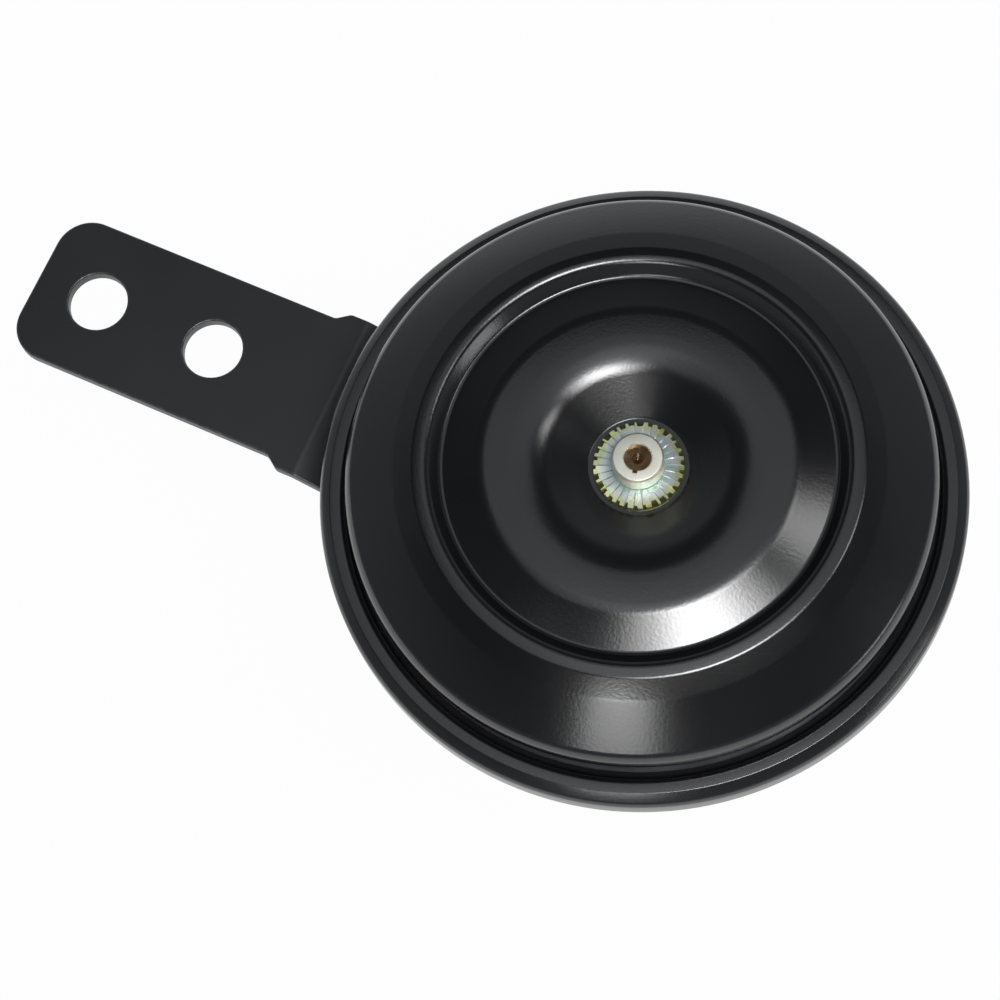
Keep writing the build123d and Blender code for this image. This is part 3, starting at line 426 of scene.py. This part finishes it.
# Terminals: brown moulded plate behind the shelf, a strip inside it, and two stamped brass
# blades for push-on connectors, each held by one rivet.
blade_brass = grained(
    "terminal blade brass", (0.62, 0.5, 0.24), (0.76, 0.64, 0.36), 0.26, 1.0, 400, 3000, 0.15,
)
plate_brown = grained(
    "moulded terminal plate", (0.06, 0.024, 0.012), (0.11, 0.048, 0.022), 0.42, 0.0, 250, 1400, 0.3,
)
dress("terminal_plate", plate_brown)
dress("terminal_inner_strip", plate_brown)
dress("terminal_blade_a", blade_brass)
dress("terminal_blade_b", blade_brass)
dress("terminal_rivets", brass)


# Leads: thin copper wires in a soft red-brown sleeve, from coil, breaker and terminals.
lead_insulation = grained(
    "lead insulation", (0.22, 0.035, 0.02), (0.33, 0.06, 0.03), 0.45, 0.0, 600, 1800, 0.25,
)
for lead in ("lead_coil_terminal", "lead_coil_breaker", "lead_breaker_terminal"):
    dress(lead, lead_insulation)


# Bracket: a folded steel strap, punched with two bolt holes, tumbled and painted satin black.
# It is flat where it is bolted and slopes down to lie against the housing's floor. Its rounded
# edges get a lighter, half-metallic paint as a painted highlight.
edge_round = 0.28
flat_within, sharp_from = 0.5, 40
bracket_paint = grained(
    "bracket satin paint", (0.009, 0.009, 0.0094), (0.0125, 0.0125, 0.013), 0.4, 0.0, 45, 3200, 0.2, ior=1.65,
)
# Lighter paint for the rounded edges: a painted highlight.
bracket_edge_painted_highlight = grained(
    "bracket edge painted highlight", (0.05, 0.051, 0.053), (0.13, 0.132, 0.136), 0.32, 0.5, 700, 2500, 0.3,
)
bm = bmesh.new()
bm.from_mesh(nodes["bracket"].data)
bmesh.ops.remove_doubles(bm, verts=bm.verts[:], dist=weld)
bmesh.ops.dissolve_limit(bm, angle_limit=math.radians(flat_within), verts=bm.verts[:], edges=bm.edges[:])
for face in bm.faces:
    face.material_index = 0
sharp = [e for e in bm.edges if len(e.link_faces) == 2 and e.calc_face_angle(0) > math.radians(sharp_from)]
# The bevelled sharp edges take the lighter painted highlight material.
bmesh.ops.bevel(
    bm, geom=sharp, offset=edge_round * mm, offset_type="OFFSET", affect="EDGES", segments=3,
    profile=0.5, material=1, clamp_overlap=True,
)
bmesh.ops.triangulate(bm, faces=bm.faces[:])
bracket = finish_piece(
    "bracket_strap", bm, [bracket_paint, bracket_edge_painted_highlight], "base", ["bracket"], 30,
)
evened = bracket.modifiers.new("even shading", "WEIGHTED_NORMAL")
evened.keep_sharp = True


# Lock washer and stud nut: split spring washer and hexagon nut, bright zinc plated, that
# clamp the bracket on the rear stud.
nut_zinc = grained("stud nut zinc", (0.54, 0.56, 0.58), (0.72, 0.74, 0.76), 0.26, 1.0, 500, 2500, 0.2)
dress("lock_washer", zinc_bright)
dress("stud_nut", nut_zinc)


# Studio: pale floor, white to the camera and in reflections but still holding the shadow. Low
# down the surroundings are white as well, above them the room is dark, and soft boxes stand
# where the photograph's highlights say.
floor_drop, floor_half, own_light = 0.12, 1.5, 0.97
white = bpy.data.materials.new("studio floor")
white.use_nodes = True
tree = white.node_tree
tree.nodes.clear()
out = tree.nodes.new("ShaderNodeOutputMaterial")
mix = tree.nodes.new("ShaderNodeMixShader")
paint = tree.nodes.new("ShaderNodeBsdfDiffuse")
paint.inputs["Color"].default_value = (0.9, 0.9, 0.9, 1)
glow = tree.nodes.new("ShaderNodeEmission")
glow.inputs["Strength"].default_value = 1
ray = tree.nodes.new("ShaderNodeLightPath")
seen = tree.nodes.new("ShaderNodeMath")
seen.operation = "MAXIMUM"
also = tree.nodes.new("ShaderNodeMath")
also.operation = "MAXIMUM"
part = tree.nodes.new("ShaderNodeMath")
part.operation = "MULTIPLY"
part.inputs[1].default_value = own_light
tree.links.new(ray.outputs["Is Camera Ray"], seen.inputs[0])
tree.links.new(ray.outputs["Is Glossy Ray"], seen.inputs[1])
tree.links.new(seen.outputs[0], also.inputs[0])
tree.links.new(ray.outputs["Is Transmission Ray"], also.inputs[1])
tree.links.new(also.outputs[0], part.inputs[0])
tree.links.new(part.outputs[0], mix.inputs[0])
tree.links.new(paint.outputs[0], mix.inputs[1])
tree.links.new(glow.outputs[0], mix.inputs[2])
clear = tree.nodes.new("ShaderNodeBsdfTransparent")
side = tree.nodes.new("ShaderNodeNewGeometry")
one_sided = tree.nodes.new("ShaderNodeMixShader")
tree.links.new(side.outputs["Backfacing"], one_sided.inputs[0])
tree.links.new(mix.outputs[0], one_sided.inputs[1])
tree.links.new(clear.outputs[0], one_sided.inputs[2])
tree.links.new(one_sided.outputs[0], out.inputs["Surface"])
bm = bmesh.new()
bmesh.ops.create_grid(bm, x_segments=1, y_segments=1, size=floor_half)
bmesh.ops.translate(bm, verts=bm.verts[:], vec=(0, 0, -floor_drop))
mesh = bpy.data.meshes.new("studio_floor")
bm.to_mesh(mesh)
bm.free()
mesh.materials.append(white)
floor = bpy.data.objects.new("studio_floor", mesh)
bpy.context.scene.collection.objects.link(floor)

world = bpy.data.worlds.new("studio")
bpy.context.scene.world = world
world.use_nodes = True
tree = world.node_tree
tree.nodes.clear()
out = tree.nodes.new("ShaderNodeOutputWorld")
room = tree.nodes.new("ShaderNodeBackground")
fill = tree.nodes.new("ShaderNodeBackground")
fill.inputs["Color"].default_value = (0.93, 0.96, 1, 1)
fill.inputs["Strength"].default_value = 0.2
bright = tree.nodes.new("ShaderNodeBackground")
bright.inputs["Color"].default_value = (1, 1, 1, 1)
way = tree.nodes.new("ShaderNodeTexCoord")
split = tree.nodes.new("ShaderNodeSeparateXYZ")
climb = tree.nodes.new("ShaderNodeValToRGB")
steps = climb.color_ramp.elements
steps[0].position, steps[0].color = 0.0, (0.7, 0.72, 0.75, 1)
steps[1].position, steps[1].color = 0.62, (0.04, 0.044, 0.048, 1)
steps.new(0.05).color = (0.22, 0.24, 0.26, 1)
steps.new(0.4).color = (0.17, 0.19, 0.21, 1)
ray = tree.nodes.new("ShaderNodeLightPath")
mirrored = tree.nodes.new("ShaderNodeMath")
mirrored.operation = "MAXIMUM"
lit = tree.nodes.new("ShaderNodeMixShader")
shown = tree.nodes.new("ShaderNodeMixShader")
tree.links.new(way.outputs["Generated"], split.inputs[0])
tree.links.new(split.outputs["Z"], climb.inputs["Fac"])
tree.links.new(climb.outputs["Color"], room.inputs["Color"])
tree.links.new(ray.outputs["Is Glossy Ray"], mirrored.inputs[0])
tree.links.new(ray.outputs["Is Transmission Ray"], mirrored.inputs[1])
tree.links.new(mirrored.outputs[0], lit.inputs[0])
tree.links.new(fill.outputs[0], lit.inputs[1])
tree.links.new(room.outputs[0], lit.inputs[2])
tree.links.new(ray.outputs["Is Camera Ray"], shown.inputs[0])
tree.links.new(lit.outputs[0], shown.inputs[1])
tree.links.new(bright.outputs[0], shown.inputs[2])
tree.links.new(shown.outputs[0], out.inputs["Surface"])

camera_place = Matrix((
    (0.904189, -0.374606, 0.205216, 0.14862),
    (0.418478, 0.873157, -0.249948, -0.11345),
    (-0.085553, 0.311878, 0.946263, 0.41217),
    (0, 0, 0, 1),
))
aim = Vector((horn_x, 0, rim_z))
picture_up = Vector((camera_place[0][1], camera_place[1][1], 0)).normalized()
picture_right = Vector((picture_up.y, -picture_up.x, 0))
lamp_away = 0.9


def soft_box(name, tilt, turn, wide, tall, bright, tint=(1, 1, 1)):
    """Area lamp at this tilt from the horn's axis, towards this clock angle in the picture."""
    lamp = bpy.data.lights.new(name, "AREA")
    lamp.shape = "RECTANGLE"
    lamp.size = wide
    lamp.size_y = tall
    lamp.energy = 4 * bright * wide * tall
    lamp.color = tint
    side = picture_up * math.cos(math.radians(turn)) + picture_right * math.sin(math.radians(turn))
    way = Vector((0, 0, 1)) * math.cos(math.radians(tilt)) + side * math.sin(math.radians(tilt))
    across = Vector((0, 0, 1)).cross(way).normalized()
    up = way.cross(across)
    thing = bpy.data.objects.new(name, lamp)
    thing.matrix_world = Matrix((
        (across.x, up.x, way.x, aim.x + way.x * lamp_away),
        (across.y, up.y, way.y, aim.y + way.y * lamp_away),
        (across.z, up.z, way.z, aim.z + way.z * lamp_away),
        (0, 0, 0, 1),
    ))
    thing.visible_camera = False
    bpy.context.scene.collection.objects.link(thing)


soft_box("overhead panel", 6, 0, 0.76, 0.76, 0.34, (0.88, 0.95, 1))
soft_box("overhead core", 3, 180, 0.3, 0.3, 0.4, (0.88, 0.95, 1))
soft_box("main box", 22, 148, 0.5, 0.26, 4.0)
soft_box("main box core", 21.5, 147, 0.26, 0.2, 9.0)
soft_box("low box", 49.5, -172, 0.25, 0.24, 2.8)
soft_box("low box core", 44.5, -171, 0.12, 0.04, 8.0)
soft_box("right high box", 34, 83, 0.2, 0.16, 3.2)
soft_box("right box", 74, 113, 0.3, 0.14, 2.2)
soft_box("far left strip", 86, -97, 0.7, 0.06, 1.2)

lens = bpy.data.cameras.new("camera")
lens.sensor_width = 36
lens.lens = 108
camera = bpy.data.objects.new("camera", lens)
camera.matrix_world = camera_place
bpy.context.scene.collection.objects.link(camera)
bpy.context.scene.camera = camera
bpy.context.scene.view_settings.view_transform = "Standard"
